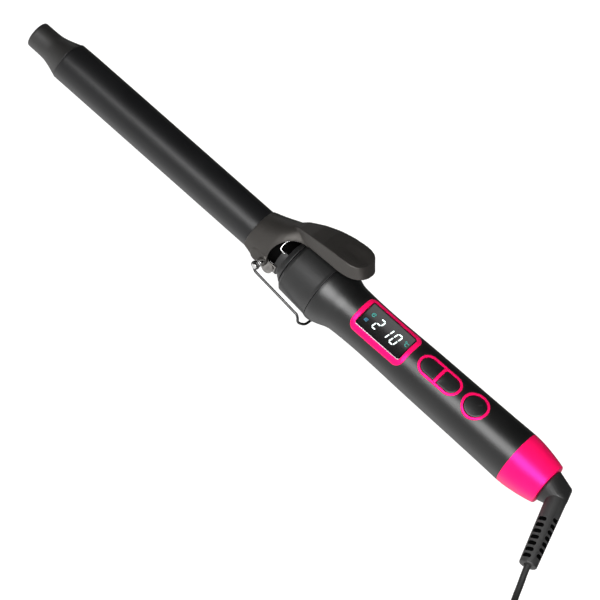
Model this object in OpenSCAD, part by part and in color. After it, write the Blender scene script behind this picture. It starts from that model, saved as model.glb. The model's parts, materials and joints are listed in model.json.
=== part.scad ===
// Hair curling wand with a spring clamp, a fold-out wire stand and a swivelling cord.
// Wand axes, before the rest tilt: +X from the cool tip to the cord, +Z to the thumb lever,
// and the controls face -Y and +Z. All sizes are in millimetres.

/* [Barrel] */
// Outer radius of the heated barrel
barrel_r = 12.5; // [12.3:0.1:12.6]
// Wall of the barrel tube
barrel_wall = 0.9; // [0.7:0.1:1.2]
// Length of the cool tip
tip_len = 26.3; // [24:0.1:28]
// Radius of the straight part of the cool tip
tip_r = 8.6; // [8:0.1:9]
// Radius of the cool tip's rim, where it meets the barrel
rim_r = 12.6; // [12.6:0.1:12.7]
// Where the barrel tube ends, inside the neck
barrel_end = 198.5; // [198:0.5:199]

/* [Clamp] */
// Distance from the cool tip's end to the hinge
hinge_x = 200; // [199:0.5:201]
// Height of the hinge above the barrel's axis
hinge_z = -4; // [-4.5:0.1:-3.5]
// Radius of the hinge pins, in the bracket and the lever
pin_r = 2; // [1.8:0.1:2]
// Radius of the hinge pins' outer ends, which carry the sleeves and the stand
axle_r = 1.2; // [1.1:0.1:1.3]
// Angle that the clip plate covers, each side of its top
clip_angle = 76; // [70:1:78]
// Thickness of the clip plate
clip_wall = 0.7; // [0.5:0.1:0.8]
// Front edge of the lever's saddle
saddle_x = 184.3; // [183:0.1:186]

/* [Stand] */
// Radius of the stand's wire
wire_r = 0.8; // [0.7:0.1:0.9]
// Distance of the folded stand's crossbar from the cool tip's end
stand_x = 242; // [241:0.5:243]
// Depth of the folded stand's crossbar below the barrel's axis
stand_drop = 22; // [22:0.1:23]
// Half length of the crossbar
stand_half = 12; // [11:0.5:13]

/* [Handle] */
// Where the heat collar ends and the handle sleeve starts
sleeve_x = 239.6; // [239.6:0.1:240]
// Where the handle sleeve ends and the end cap starts
cap_x = 389.6; // [389:0.1:391]
// End of the end cap
cap_end = 414.3; // [413:0.1:416]
// Wall of the handle sleeve
sleeve_wall = 1.8; // [1.6:0.1:2]
// Angle that the controls are turned from the lever, towards the front
face_angle = 30; // [25:1:35]

/* [Controls] */
// Start of the display bezel
bezel_x = 264.5; // [264:0.1:265]
// Length of the display bezel
bezel_len = 40.7; // [40:0.1:41]
// Half width of the display bezel
bezel_half = 11.8; // [11.5:0.1:12]
// Width of the display bezel's band
bezel_band = 3; // [2.8:0.1:3.2]
// Height of the display lens above the wand's axis
lens_height = 14.6; // [14.4:0.1:15]
// Start of the oblong button surround
oblong_x = 310.8; // [310:0.1:312]
// Length of the oblong button surround
oblong_len = 31.2; // [30:0.1:32]
// Half width of the oblong button surround
oblong_half = 7.2; // [7:0.1:7.4]
// Centre of the round power button
power_x = 354; // [353:0.5:355]
// Outer radius of the power button's ring
power_ring_r = 8.85; // [8.5:0.05:9]
// Width of the button rings
ring_band = 1.65; // [1.5:0.05:1.8]
// Travel of each button
button_travel = 0.5; // [0.3:0.1:0.5]

/* [Cord] */
// Diameter of the cord
cord_d = 4; // [3.8:0.1:4.2]
// Mean diameter of the stored coil
coil_d = 48; // [46:1:50]
// Turns of the coil side by side
coil_wide = 3; // [2:1:4]
// Layers of turns in the coil
coil_high = 4; // [3:1:5]
// Length of the strain relief
relief_len = 44.2; // [42:0.2:45]
// Distance between the plug's two pins
plug_pitch = 18.6; // [17.5:0.1:19]

/* [Hidden] */
$fn = 96;

charcoal = "#2a2a2c";
soft_black = "#1b1b1d";
pink = "#ff1478";
steel = "#c9c9cc";
alloy = "#a9abb0";
brass = "#c8a24a";
white_ceramic = "#e8e4da";
board_green = "#1f5a35";

slip = 0.05;         // clearance between pieces that are slid together
run_gap = 0.05;      // radial clearance of a running fit
air = 0.3;           // clearance between pieces that move past each other
barrel_in = barrel_r - barrel_wall;
clip_in = barrel_r + air;
clip_out = clip_in + clip_wall;
saddle_in = clip_out + 0.1;
ear_in = 13.8;       // inner face of each lever ear
ear_out = 15.6;      // outer face of each lever ear
sleeve_in = ear_out + 0.2;
loop_in = 21.2;      // inner face of each stand eye
loop_out = loop_in + 2 * wire_r;
head_in = loop_out + air;
head_r = 2;
bracket_in = barrel_r + 0.15;
bracket_out = ear_in - air;
bracket_screw_x = 206;
collar_x = 215.3;    // front of the heat collar
collar_end = sleeve_x - air;
bush_r = 15.8;       // radius of the neck bush inside the heat collar
bush_end = 238;
spigot_r = 17.1;     // radius of the collar's spigot, inside the handle sleeve
cap_spigot_x = cap_x - 5.7;
cap_spigot_r = 15.35;
lens_x = bezel_x + bezel_band;
lens_len = bezel_len - 2 * bezel_band;
lens_half = bezel_half - bezel_band;
lens_low = 12.5;
bezel_corner = 4.6;
key_y = 1;           // how far the buttons sit from the face's middle, toward the lever
board_top = 3.6;
swivel_r = 8;        // radius of the swivel, inside the end cap
swivel_x = 390.2;    // inner end of the swivel
slip_ring_in = 4.4;

// The wand lies on its cool tip's rim and on the folded stand's crossbar.
lean_run = stand_x - tip_len;
lean_drop = stand_drop - rim_r;
lean = atan(lean_drop / lean_run) + asin(wire_r / norm([lean_run, lean_drop]));
lift = rim_r * cos(lean) - tip_len * sin(lean);
tip_face = 7.2;      // radius of the cool tip's flat end
far_x = 429.83;      // how far the swivel elbow reaches along the surface
mid_x = (far_x - tip_face * sin(lean)) / 2;

function to_row(p) = [p.x * cos(lean) - p.z * sin(lean) - mid_x, p.y,
    p.x * sin(lean) + p.z * cos(lean) + lift];
function to_wand(q) = let (x = q.x + mid_x, z = q.z - lift)
    [x * cos(lean) + z * sin(lean), q.y, z * cos(lean) - x * sin(lean)];

// Cord route on the surface, from inside the strain relief to the coil.
cord_r = cord_d / 2;
cord_route = [[223.7, -39.9, 13.2], [224.4, -41.6, 12.2], [226.7, -46.5, 9.4], [229.7, -52.4, 6],
    [232.4, -58.5, 3.4], [235.2, -65, 2.2], [239, -71.5, 2], [244.5, -77.5, 2], [252, -82, 2],
    [261.5, -84.6, 2], [271.5, -85, 2], [281, -85, 2]];
coil_centre = [287, -57];
coil_in = coil_d / 2 - coil_wide * cord_d / 2;
coil_out = coil_d / 2 + coil_wide * cord_d / 2;
plug_at = [315, -23, 6.85];
tail_steps = [[-28, 6], [-23, 6.3], [-18, 6.7], [-12, plug_at.z]];
tail_route = [for (step = tail_steps) [plug_at.x, plug_at.y + step.x, step.y]];

// Strain relief: from the elbow's side to the start of the cord.
relief_top = [424.5, -6.5, 1.5];
relief_way = unit(to_wand(cord_route[1]) - relief_top);
relief_r0 = 6.25;
relief_r1 = 5.5;

// Rest outline of the handle as [x, radius] pairs.
handle_line = curve([[sleeve_x, 20.6], [242.4, 20.5], [247.8, 19], [253.2, 16.9], [259.2, 16], [280, 15.5],
    [316, 16.2], [345, 16.55], [373, 16.95], [cap_x, 17.33]], 4);

function unit(v) = v / norm(v);

// Smooth curve through a list of points, with the given number of steps between two points.
function curve(p, steps) = [
    for (i = [0 : len(p) - 2], k = [0 : steps - 1]) curve_at(p, i, k / steps),
    p[len(p) - 1]];
function curve_at(p, i, t) = let (
    a = p[max(i - 1, 0)], b = p[i], c = p[i + 1], d = p[min(i + 2, len(p) - 1)])
    b + (c - a) * t / 2 + (a - 2.5 * b + 2 * c - d / 2) * t * t
        + (1.5 * b - a / 2 - 1.5 * c + d / 2) * t * t * t;

// Solid of revolution about the wand's axis, from an outline of [x, radius] pairs.
module turned(line) {
    first = line[0].x;
    last = line[len(line) - 1].x;
    rotate([0, 90, 0])
        rotate_extrude()
            polygon([[0, first], for (p = line) [p.y, p.x], [0, last]]);
}

// Cylinder on the wand's axis.
module rod(x0, x1, r) {
    translate([x0, 0, 0])
        rotate([0, 90, 0])
            cylinder(h = x1 - x0, r = r);
}

// Tube on the wand's axis.
module tube(x0, x1, r_out, r_in) {
    difference() {
        rod(x0, x1, r_out);
        rod(x0 - 1, x1 + 1, r_in);
    }
}

// A flat outline of [y, z] stood across the wand from x0 to x1.
module across(x0, x1) {
    translate([x0, 0, 0])
        rotate([90, 0, 90])
            linear_extrude(x1 - x0)
                children();
}

// A flat outline of [x, z] stood along the wand from y0 to y1.
module alongside(y0, y1) {
    translate([0, y1, 0])
        rotate([90, 0, 0])
            linear_extrude(y1 - y0)
                children();
}

// Both sides of the wand.
module both_sides() {
    children();
    mirror([0, 1, 0])
        children();
}

// The face that carries the controls: +Z becomes the direction that they face.
module on_face() {
    rotate([face_angle, 0, 0])
        children();
}

// The wand as it lies on a surface.
module rest() {
    translate([-mid_x, 0, lift])
        rotate([0, -lean, 0])
            children();
}

// Round bar between two points.
module bar(a, b, r) {
    way = b - a;
    long = norm(way);
    translate(a)
        rotate([0, acos(way.z / long), atan2(way.y, way.x)])
            cylinder(h = long, r = r, $fn = 32);
}

// Tube swept along a list of points.
module swept(path, r, sides, ref = [0, 0, 1]) {
    last = len(path) - 1;
    polyhedron(
        points = [for (i = [0 : last])
            let (way = unit(path[min(i + 1, last)] - path[max(i - 1, 0)]))
            let (a = unit(cross(ref, way)), b = cross(way, a))
            for (k = [0 : sides - 1]) path[i] + r * (a * cos(360 * k / sides) + b * sin(360 * k / sides))],
        faces = [
            [for (k = [0 : sides - 1]) k],
            [for (k = [0 : sides - 1]) last * sides + sides - 1 - k],
            for (i = [0 : last - 1], k = [0 : sides - 1]) let (n = (k + 1) % sides)
                [i * sides + k, (i + 1) * sides + k, (i + 1) * sides + n, i * sides + n]]);
}

// ---- Barrel -------------------------------------------------------------------------------

module cool_tip() {
    color(soft_black)
        difference() {
            union() {
                turned([[0, tip_face], [0.35, 8.2], [1.2, tip_r], [14.5, tip_r], [17.5, 9.2], [20.5, 10.1],
                    [23.5, 11.3], [tip_len, rim_r]]);
                rod(tip_len, 36, barrel_in - 0.02);
            }
            rod(-1, 3, 3.2);
            rod(2, 9, 1.6);
            rod(8, 37, 6.2);
        }
}

module tip_screw() {
    color(steel)
        difference() {
            union() {
                rod(1.2, 3, 2.8);
                rod(3, 40, 1.5);
            }
            across(0.8, 2.2)
                square([3.4, 0.7], center = true);
            across(0.8, 2.2)
                square([0.7, 3.4], center = true);
        }
}

module barrel_plug() {
    color(alloy)
        tube(36, 41, barrel_in - 0.02, 1.5);
}

module barrel_tube() {
    color(charcoal)
        tube(tip_len, barrel_end, barrel_r, barrel_in);
}

module heat_spreaders() {
    color(alloy)
        across(58, 184)
            difference() {
                circle(r = barrel_in - 0.05);
                square([2 * barrel_r, 5.2], center = true);
            }
}

module ceramic_heater() {
    color(white_ceramic)
        translate([62, -6, -2.5])
            cube([118, 12, 5]);
}

module thermistor() {
    color(white_ceramic)
        translate([100, 8.6, 0])
            rotate([0, 90, 0])
                cylinder(h = 12, r = 1.2);
}

module thermal_fuse() {
    color(steel)
        translate([150, -8.6, 0])
            rotate([0, 90, 0])
                cylinder(h = 11, r = 1.6);
}

module heater_leads() {
    color("#8a2a22")
        for (y = [-4.5, -1.5, 1.5, 4.5])
            translate([180, y, 0])
                rotate([0, 90, 0])
                    cylinder(h = 81.5, r = 0.7, $fn = 24);
}

// ---- Neck and collar ------------------------------------------------------------------------

bush_x = 188;        // front of the neck bush, inside the barrel
neck_x = 204.5;      // where the neck's groove, under the lever, ends
neck_r = 12.7;
groove_r = 11;
wire_way_r = 8;      // bore that the heater leads run through

module neck_bush() {
    color(soft_black)
        difference() {
            union() {
                rod(bush_x, barrel_end, barrel_in - 0.02);
                rod(barrel_end, neck_x, groove_r);
                rod(neck_x, collar_x - 0.1, neck_r);
                rod(collar_x - 0.1, bush_end, bush_r);
            }
            rod(bush_x - 1, bush_end + 1, wire_way_r);
            translate([bracket_screw_x, 0, -20])
                cylinder(h = 20, r = 1.2);
        }
}

module neck_ring() {
    color(charcoal)
        difference() {
            turned([[210.8, 12.95], [211.2, 13.4], [213.9, 15.4], [214.4, 15.4]]);
            rod(210, 215, neck_r + 0.02);
        }
}

module heat_collar() {
    color(charcoal)
        difference() {
            union() {
                turned([[collar_x, 16.6], [216, 17.6], [217.3, 18.4], [237.4, 19.3], [238.6, 19.7],
                    [collar_end, 20.3]]);
                rod(collar_end, collar_end + 6.2, spigot_r);
            }
            rod(collar_x - 0.3, bush_end + 0.05, bush_r + 0.03);
            rod(bush_end, collar_end + 7, 13.2);
        }
}

module hinge_bracket() {
    color(steel)
        difference() {
            union() {
                both_sides()
                    alongside(bracket_in, bracket_out)
                        hull() {
                            translate([hinge_x, hinge_z])
                                circle(r = 3.5);
                            translate([204.2, -6.3])
                                circle(r = 4);
                        }
                across(202.5, 209)
                    intersection() {
                        difference() {
                            circle(r = bracket_out);
                            circle(r = neck_r + 0.05);
                        }
                        translate([-20, -22])
                            square([40, 20]);
                    }
            }
            rod(190, 212, bracket_in);
            translate([bracket_screw_x, 0, -20])
                cylinder(h = 10, r = 1.6);
            both_sides()
                alongside(10, 20)
                    translate([hinge_x, hinge_z])
                        circle(r = pin_r);
        }
}

module bracket_screws() {
    color(steel) {
        translate([bracket_screw_x, 0, -15])
            cylinder(h = 1.3, r = 2.6);
        translate([bracket_screw_x, 0, -13.75])
            cylinder(h = 5, r = 1.15);
    }
}

module hinge_pins() {
    color(steel)
        both_sides() {
            alongside(bracket_in, sleeve_in)
                translate([hinge_x, hinge_z])
                    circle(r = pin_r);
            alongside(sleeve_in - 1, head_in)
                translate([hinge_x, hinge_z])
                    circle(r = axle_r);
            alongside(head_in, head_in + 0.8)
                translate([hinge_x, hinge_z])
                    circle(r = head_r);
        }
}

module pin_sleeves() {
    color(steel)
        both_sides()
            alongside(sleeve_in, loop_in - 0.25)
                translate([hinge_x, hinge_z])
                    difference() {
                        circle(r = 2.4);
                        circle(r = axle_r);
                    }
}

// Torsion spring: a coil across the top of the neck, one leg down the neck's side and one leg
// under the thumb pad.
spring_at = [206.8, 17.4];
spring_turns = 4;
spring_r = 2.5;
spring_wide = 8;
spring_wire_r = 0.5;
spring_arc = 360 * spring_turns + 180;
spring_coil = [for (a = [-90 : 30 : spring_arc - 90])
    [spring_at.x + spring_r * cos(a), spring_wide * ((a + 90) / spring_arc - 0.5),
        spring_at.y + spring_r * sin(a)]];

module clamp_spring() {
    foot = [[208.6, -11.2, 8.8], [206.6, -11.2, 8.8], [205, -10.9, 9.4], [204.6, -9.6, 11.2],
        [205, -7, 13.4]];
    leg = [[209.5, 4, 20.2], [213, 3, 21.6], [217, 1.5, 23.4], [220, 0, 25]];
    color(steel)
        swept(concat(foot, spring_coil, leg), spring_wire_r, 6, [0.1, 1, 0.05]);
}

// ---- Clamp ------------------------------------------------------------------------------------

rivet_places = [188, 195];
rivet_r = 1.28;

module clip_plate() {
    color(charcoal)
        difference() {
            union() {
                across(tip_len + 0.5, 191)
                    ring_part(clip_angle);
                across(190, 198)
                    ring_part(24);
            }
            for (x = rivet_places)
                translate([x, 0, 10])
                    cylinder(h = 5, r = rivet_r + 0.02);
        }
}

// Part of the clip's ring, up to an angle each side of the top.
module ring_part(angle) {
    far = 3 * clip_out;
    intersection() {
        difference() {
            circle(r = clip_out);
            circle(r = clip_in);
        }
        polygon([[0, 0], [far * sin(-angle), far * cos(angle)], [-far, far], [far, far],
            [far * sin(angle), far * cos(angle)]]);
    }
}

module clip_rivets() {
    color(steel)
        for (x = rivet_places)
            translate([x, 0, clip_in + 0.05])
                cylinder(h = 2.2, r = rivet_r);
}

// Outline across the lever: straight sides, a round shoulder and a flat underside.
module lever_slice(x, half, top, bottom, shoulder) {
    across(x, x + 0.2) {
        translate([-half, bottom])
            square([2 * half, max(top - shoulder - bottom, 0.1)]);
        for (y = [-1, 1])
            translate([y * (half - shoulder), top - shoulder])
                circle(r = shoulder, $fn = 32);
    }
}

// The thumb pad, made smaller and deeper by inset to hollow it out from below.
module pad_body(inset) {
    hull() {
        lever_slice(207 + inset, 5 - inset / 2, 25.3 - inset, 18.8 - 5 * inset, lever_edge_r);
        lever_slice(225, 9.8 - inset, 31 - inset, 23.2 - 5 * inset, lever_edge_r);
        lever_slice(243, 12.1 - inset, 34.9 - inset, 25.7 - 5 * inset, lever_edge_r);
        lever_slice(248 - inset, 11.5 - inset, 35.6 - inset, 26.7 - 5 * inset, lever_edge_r);
        lever_slice(252.6 - inset, 7.5 - inset, 36 - inset, 31 - 5 * inset, lever_edge_r);
        lever_slice(253.4 - inset, 10 - inset, 32 - inset, 27.8 - 5 * inset, lever_edge_r);
        lever_slice(257.6 - inset, 6 - inset, 32 - inset, 29.4 - 5 * inset, 1.2);
    }
}

saddle_low = -4.5;   // lower edge of the saddle
saddle_wall = 0.7;   // wall at the saddle's front
lever_edge_r = 1.6;

module saddle_body() {
    front_r = saddle_in + saddle_wall;
    hull() {
        across(saddle_x, saddle_x + 0.2) {
            circle(r = front_r, $fn = 48);
            translate([-front_r, saddle_low])
                square([2 * front_r, -saddle_low]);
        }
        lever_slice(203.4, ear_out, 22, saddle_low, 7);
    }
}

module clamp_lever() {
    color(soft_black)
        difference() {
            union() {
                difference() {
                    union() {
                        difference() {
                            saddle_body();
                            translate([180, -20, saddle_low - 20])
                                cube([30, 40, 20]);
                        }
                        hull() {
                            lever_slice(199, 7.5, 20.4, 14, 5);
                            lever_slice(209, 5.4, 26.1, 19.6, 1.6);
                        }
                        pad_body(0);
                    }
                    alongside(-20, 20)
                        translate([217, 4.5])
                            circle(r = 16);
                    translate([200.5, -20, -20])
                        cube([30, 40, 22]);
                    pad_body(2);
                    translate([202.6, -4.8, 10])
                        cube([12, 9.6, 11.2]);
                }
                both_sides()
                    alongside(ear_in, ear_out)
                        hull() {
                            translate([hinge_x, hinge_z])
                                circle(r = 3.6);
                            translate([194, -2.6])
                                circle(r = 3.6);
                        }
            }
            rod(180, 204.5, saddle_in);
            translate([180, -ear_in, -12])
                cube([30, 2 * ear_in, 12]);
            rod(198, 212, 14.6);
            for (x = rivet_places)
                translate([x, 0, 10])
                    cylinder(h = 5.2, r = rivet_r + 0.02);
            alongside(-20, 20)
                translate([hinge_x, hinge_z])
                    circle(r = pin_r + run_gap);
        }
}

// ---- Stand --------------------------------------------------------------------------------------

// The stand is one bent wire: an eye on each hinge pin, two legs and a crossbar.
module wire_stand() {
    eye = [hinge_x, loop_in + wire_r, hinge_z];
    eye_r = axle_r + run_gap + wire_r;
    foot = [stand_x, stand_half, -stand_drop];
    leg = [[hinge_x - 0.6, eye.y, hinge_z - eye_r], [hinge_x + 1.2, eye.y, -6.9], [hinge_x + 3.4, 21.7, -8],
        [hinge_x + 20, 18.6, -12.4], foot + [-8.8, 4.1, 6], foot + [-6.6, 3.6, 5.4], foot + [-4.9, 3.3, 3.6],
        foot + [-3.9, 2.9, 1.4], foot + [-3, 2.3, 0.5], foot + [-1.8, 1.2, 0.14], foot + [-0.5, -0.5, 0.03],
        foot + [0, -2.4, 0], foot - [0, stand_half / 2, 0]];
    other = [for (i = [len(leg) - 1 : -1 : 0]) [leg[i].x, -leg[i].y, leg[i].z]];
    color(steel) {
        both_sides()
            translate(eye)
                rotate([90, 0, 0])
                    difference() {
                        cylinder(h = 2 * wire_r, r = eye_r + wire_r, center = true);
                        cylinder(h = 3 * wire_r, r = axle_r + run_gap, center = true);
                    }
        swept(curve(concat(leg, other), 3), wire_r, 12, [0.1, 0, 1]);
    }
}

// ---- Handle -----------------------------------------------------------------------------------

// The handle's outside, made larger or smaller by grow.
module handle_form(grow) {
    turned([for (p = handle_line) [p.x, p.y + grow]]);
}

// A rounded rectangle from x0, centred across the face, stood up along the face's direction.
module face_block(x0, long, half, corner, z0 = 0, z1 = 20) {
    translate([x0, -half, z0])
        linear_extrude(z1 - z0)
            for (x = [corner, long - corner])
                hull()
                    for (y = [corner, 2 * half - corner], d = [0, long / 2 - corner])
                        translate([x < long / 2 ? x + d : x - d, y])
                            circle(r = corner, $fn = 48);
}

// Straight-ended oblong, round at both ends.
module oblong(x0, long, half, z0 = 0, z1 = 20) {
    translate([x0, key_y, z0])
        linear_extrude(z1 - z0) {
            for (x = [half, long - half])
                translate([x, 0])
                    circle(r = half);
            translate([half, -half])
                square([long - 2 * half, 2 * half]);
        }
}

module handle_sleeve() {
    color(charcoal)
        difference() {
            handle_form(0);
            difference() {
                handle_form(-sleeve_wall);
                rod(sleeve_x - 1, sleeve_x + 0.01, 30);
            }
            rod(sleeve_x - 1, collar_end + 6.7, spigot_r + slip);
            rod(cap_spigot_x + 0.1, cap_x + 1, cap_spigot_r + slip);
            on_face() {
                face_block(bezel_x - slip, bezel_len + 2 * slip, bezel_half + slip, bezel_corner);
                oblong(oblong_x - slip, oblong_len + 2 * slip, oblong_half + slip);
                translate([power_x, key_y, 0])
                    cylinder(h = 20, r = power_ring_r + slip);
            }
        }
}

// The handle's wall, between two offsets from its outside.
module wall_form(outer, inner) {
    difference() {
        handle_form(outer);
        handle_form(inner);
    }
}

module display_bezel() {
    color(pink)
        on_face()
            intersection() {
                difference() {
                    face_block(bezel_x, bezel_len, bezel_half, bezel_corner);
                    face_block(lens_x, lens_len, lens_half, 1.6, -1, 21);
                }
                wall_form(0.6, -sleeve_wall);
            }
}

module display_lens() {
    color("#101214")
        on_face()
            face_block(lens_x + slip, lens_len - 2 * slip, lens_half - slip, 1.5, lens_low, lens_height);
}

module display_module() {
    color("#20242a")
        on_face()
            translate([lens_x + 0.6, -8, board_top + 0.1])
                cube([lens_len - 1.2, 16, lens_low - board_top - 0.2]);
}

module button_surround() {
    color(pink)
        on_face()
            intersection() {
                difference() {
                    oblong(oblong_x, oblong_len, oblong_half);
                    for (side = [0, 1])
                        button_window(side, 0, -1, 21);
                }
                wall_form(0.45, -sleeve_wall);
            }
}

// Window of the minus button (side 0) or the plus button (side 1), made smaller by gap.
module button_window(side, gap, z0, z1) {
    divider = 2;
    inner = oblong_len - 2 * ring_band;
    cut = (inner - divider) / 2;
    intersection() {
        oblong(oblong_x + ring_band + gap, inner - 2 * gap, oblong_half - ring_band - gap, z0, z1);
        translate([oblong_x + ring_band + side * (cut + divider) + gap, -10, z0])
            cube([cut - 2 * gap, 20, z1 - z0]);
    }
}

module power_ring() {
    color(pink)
        on_face()
            intersection() {
                translate([power_x, key_y, 0])
                    difference() {
                        cylinder(h = 20, r = power_ring_r);
                        translate([0, 0, -1])
                            cylinder(h = 22, r = power_ring_r - ring_band);
                    }
                wall_form(0.45, -sleeve_wall);
            }
}

switch_top = 8.6;
stem_end = switch_top + button_travel + 0.15;
stem_r = 2.5;
key_low = 11.4;      // underside of each button's key
key_gap = 0.2;       // gap between a key and its ring
switch_in = ring_band + 7;
switch_places = [oblong_x + switch_in, oblong_x + oblong_len - switch_in, power_x];
screw_places = [[265.6, -8.6], [265.6, 8.6], [363, -8.6], [363, 8.6]];

// Stem that reaches from a key down to its switch.
module stem(x) {
    translate([x, 0, stem_end])
        cylinder(h = key_low + 0.6 - stem_end, r = stem_r);
}

module switch_button(side) {
    color(soft_black)
        on_face() {
            intersection() {
                button_window(side, key_gap, key_low, 20);
                handle_form(-0.1);
            }
            stem(switch_places[side]);
        }
}

module minus_button() switch_button(0);

module plus_button() switch_button(1);

module power_button() {
    color(soft_black)
        on_face() {
            intersection() {
                translate([power_x, key_y, key_low])
                    cylinder(h = 10, r = power_ring_r - ring_band - key_gap);
                handle_form(-0.1);
            }
            stem(power_x);
        }
}

module chassis() {
    color("#3a3a3d")
        on_face()
            difference() {
                across(262, 381) {
                    difference() {
                        circle(r = 13.4);
                        circle(r = 11.8);
                        translate([-15, 0])
                            square([30, 15]);
                    }
                    translate([-13, 0])
                        square([26, 1.8]);
                }
                for (p = screw_places)
                    translate([p.x, p.y, -4])
                        cylinder(h = 8, r = 0.9);
            }
}

module main_board() {
    color(board_green)
        on_face()
            difference() {
                translate([263.4, -10.8, 2])
                    cube([102, 21.6, board_top - 2]);
                for (p = screw_places)
                    translate([p.x, p.y, 0])
                        cylinder(h = 6, r = 1.3);
            }
}

module board_screws() {
    color(steel)
        on_face()
            for (p = screw_places)
                translate([p.x, p.y, 0]) {
                    cylinder(h = board_top, r = 0.9);
                    translate([0, 0, board_top])
                        cylinder(h = 1.2, r = 1.5);
                }
}

module tact_switches() {
    color("#3d3f44")
        on_face()
            for (x = switch_places)
                translate([x, 0, board_top]) {
                    translate([-3, -3, 0])
                        cube([6, 6, 3.6]);
                    cylinder(h = switch_top - board_top, r = 1.7);
                }
}

// ---- Cord end ------------------------------------------------------------------------------------

module end_cap() {
    color(pink)
        difference() {
            union() {
                turned(concat(curve([[cap_x, 17.33], [395, 17.1], [402, 16.2], [409, 14.9], [413, 13.9]], 3),
                    [[413.9, 13.4], [cap_end, 12.6]]));
                rod(cap_spigot_x, cap_x + 1, cap_spigot_r);
            }
            turned([[cap_spigot_x - 1, 13.6], [390, 13.6], [400, 12.9], [408.2, 11.8]]);
            rod(405, cap_end + 1, swivel_r + run_gap);
        }
}

module contact_block() {
    color(white_ceramic)
        difference() {
            rod(385.2, 389, 13.4);
            rod(385, 390, 8.6);
        }
}

module contact_fingers() {
    color(brass)
        for (side = [0, 1])
            mirror([0, side, 0]) {
                translate([389.1, 6.15, -1.5])
                    cube([0.7, 5.5, 3]);
                translate([389.1, 6.15, -1.5])
                    cube([3.6 + 4 * side, 0.7, 3]);
            }
}

module swivel_elbow() {
    bend_r = 6.5;
    edge_r = 2.2;
    color(charcoal)
        difference() {
            union() {
                hull() {
                    rod(cap_end + air, cap_end + air + 0.2, 10.7);
                    for (end = [[425.1, 6.7, 1.7], [425.1, 0.5, 6.9]])
                        translate(end)
                            sphere(r = edge_r, $fn = 24);
                    translate(relief_top - 1.5 * relief_way)
                        sphere(r = bend_r, $fn = 32);
                }
                rod(398, cap_end + 1, swivel_r);
                rod(swivel_x, 399, slip_ring_in);
            }
            relief_form(0.03);
        }
}

// Outside of the strain relief, made larger by grow.
module relief_form(grow) {
    bar_end = relief_top + relief_len * relief_way;
    long = norm(bar_end - relief_top);
    translate(relief_top)
        rotate([0, acos(relief_way.z), atan2(relief_way.y, relief_way.x)]) {
            cylinder(h = long, r1 = relief_r0 + grow, r2 = relief_r1 + grow, $fn = 48);
            sphere(r = relief_r0 + grow, $fn = 48);
        }
}

module strain_relief() {
    pitch = 4;
    color(soft_black)
        difference() {
            relief_form(0);
            translate(relief_top)
                rotate([0, acos(relief_way.z), atan2(relief_way.y, relief_way.x)]) {
                    translate([0, 0, relief_len - 5])
                        cylinder(h = 6, r = cord_r + 0.1);
                    for (turn = [0 : 3], k = [0 : 6])
                        rotate([0, 0, 45 + 90 * turn])
                            translate([3.4, -2.6, 13 + pitch * (k + (turn + 1) % 2 / 2)])
                                cube([4, 5.2, 1.7]);
                }
        }
}

module swivel_retainer() {
    color(steel)
        tube(401.2, 404.6, 10.6, swivel_r);
}

module slip_rings() {
    color(brass)
        for (x = [swivel_x + 1, swivel_x + 5])
            tube(x, x + 2.4, 6, slip_ring_in);
}

module cord() {
    color(soft_black)
        swept(curve(cord_route, 2), cord_r, 8);
}

module cord_coil() {
    color(soft_black)
        translate([coil_centre.x, coil_centre.y, 0])
            rotate_extrude()
                translate([coil_in, 0])
                    square([coil_out - coil_in, coil_high * cord_d]);
}

module cord_tail() {
    color(soft_black)
        swept(curve(tail_route, 2), cord_r, 8);
}

plug_long = 35;
plug_half = 12.9;
plug_thick = 13.7;

module plug_body() {
    color(soft_black)
        translate(plug_at)
            difference() {
                union() {
                    hull() {
                        translate([-5, 0, -5.2])
                            cube([10, 0.5, 10.4]);
                        translate([-9, 14, -plug_thick / 2])
                            cube([18, 0.5, plug_thick]);
                        translate([-plug_half, 24, -plug_thick / 2])
                            cube([2 * plug_half, plug_long - 24, plug_thick]);
                    }
                    rotate([90, 0, 0])
                        cylinder(h = 14, r1 = 4.6, r2 = 3.2, $fn = 48);
                }
                translate([0, -11, 0])
                    rotate([90, 0, 0])
                        cylinder(h = 4, r = cord_r + 0.1);
            }
}

module plug_pins() {
    color(steel)
        for (x = [-plug_pitch / 2, plug_pitch / 2])
            translate(plug_at + [x, plug_long, 0])
                rotate([-90, 0, 0]) {
                    cylinder(h = 17.6, r = 2);
                    translate([0, 0, 17.6])
                        cylinder(h = 1.4, r1 = 2, r2 = 1.1);
                }
}

rest() cool_tip();
rest() tip_screw();
rest() barrel_plug();
rest() barrel_tube();
rest() heat_spreaders();
rest() ceramic_heater();
rest() thermistor();
rest() thermal_fuse();
rest() heater_leads();
rest() neck_bush();
rest() neck_ring();
rest() heat_collar();
rest() hinge_bracket();
rest() bracket_screws();
rest() hinge_pins();
rest() pin_sleeves();
rest() clamp_spring();
rest() clip_plate();
rest() clip_rivets();
rest() clamp_lever();
rest() wire_stand();
rest() handle_sleeve();
rest() chassis();
rest() main_board();
rest() board_screws();
rest() tact_switches();
rest() display_module();
rest() display_bezel();
rest() display_lens();
rest() button_surround();
rest() power_ring();
rest() minus_button();
rest() plus_button();
rest() power_button();
rest() end_cap();
rest() contact_block();
rest() contact_fingers();
rest() swivel_elbow();
rest() swivel_retainer();
rest() slip_rings();
rest() strain_relief();
cord();
cord_coil();
cord_tail();
plug_body();
plug_pins();
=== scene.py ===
import json
from math import acos, atan2, ceil, copysign, cos, pi, radians, sin, sqrt, tan, tau

import bmesh
import bpy
from mathutils import Matrix, Vector


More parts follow.
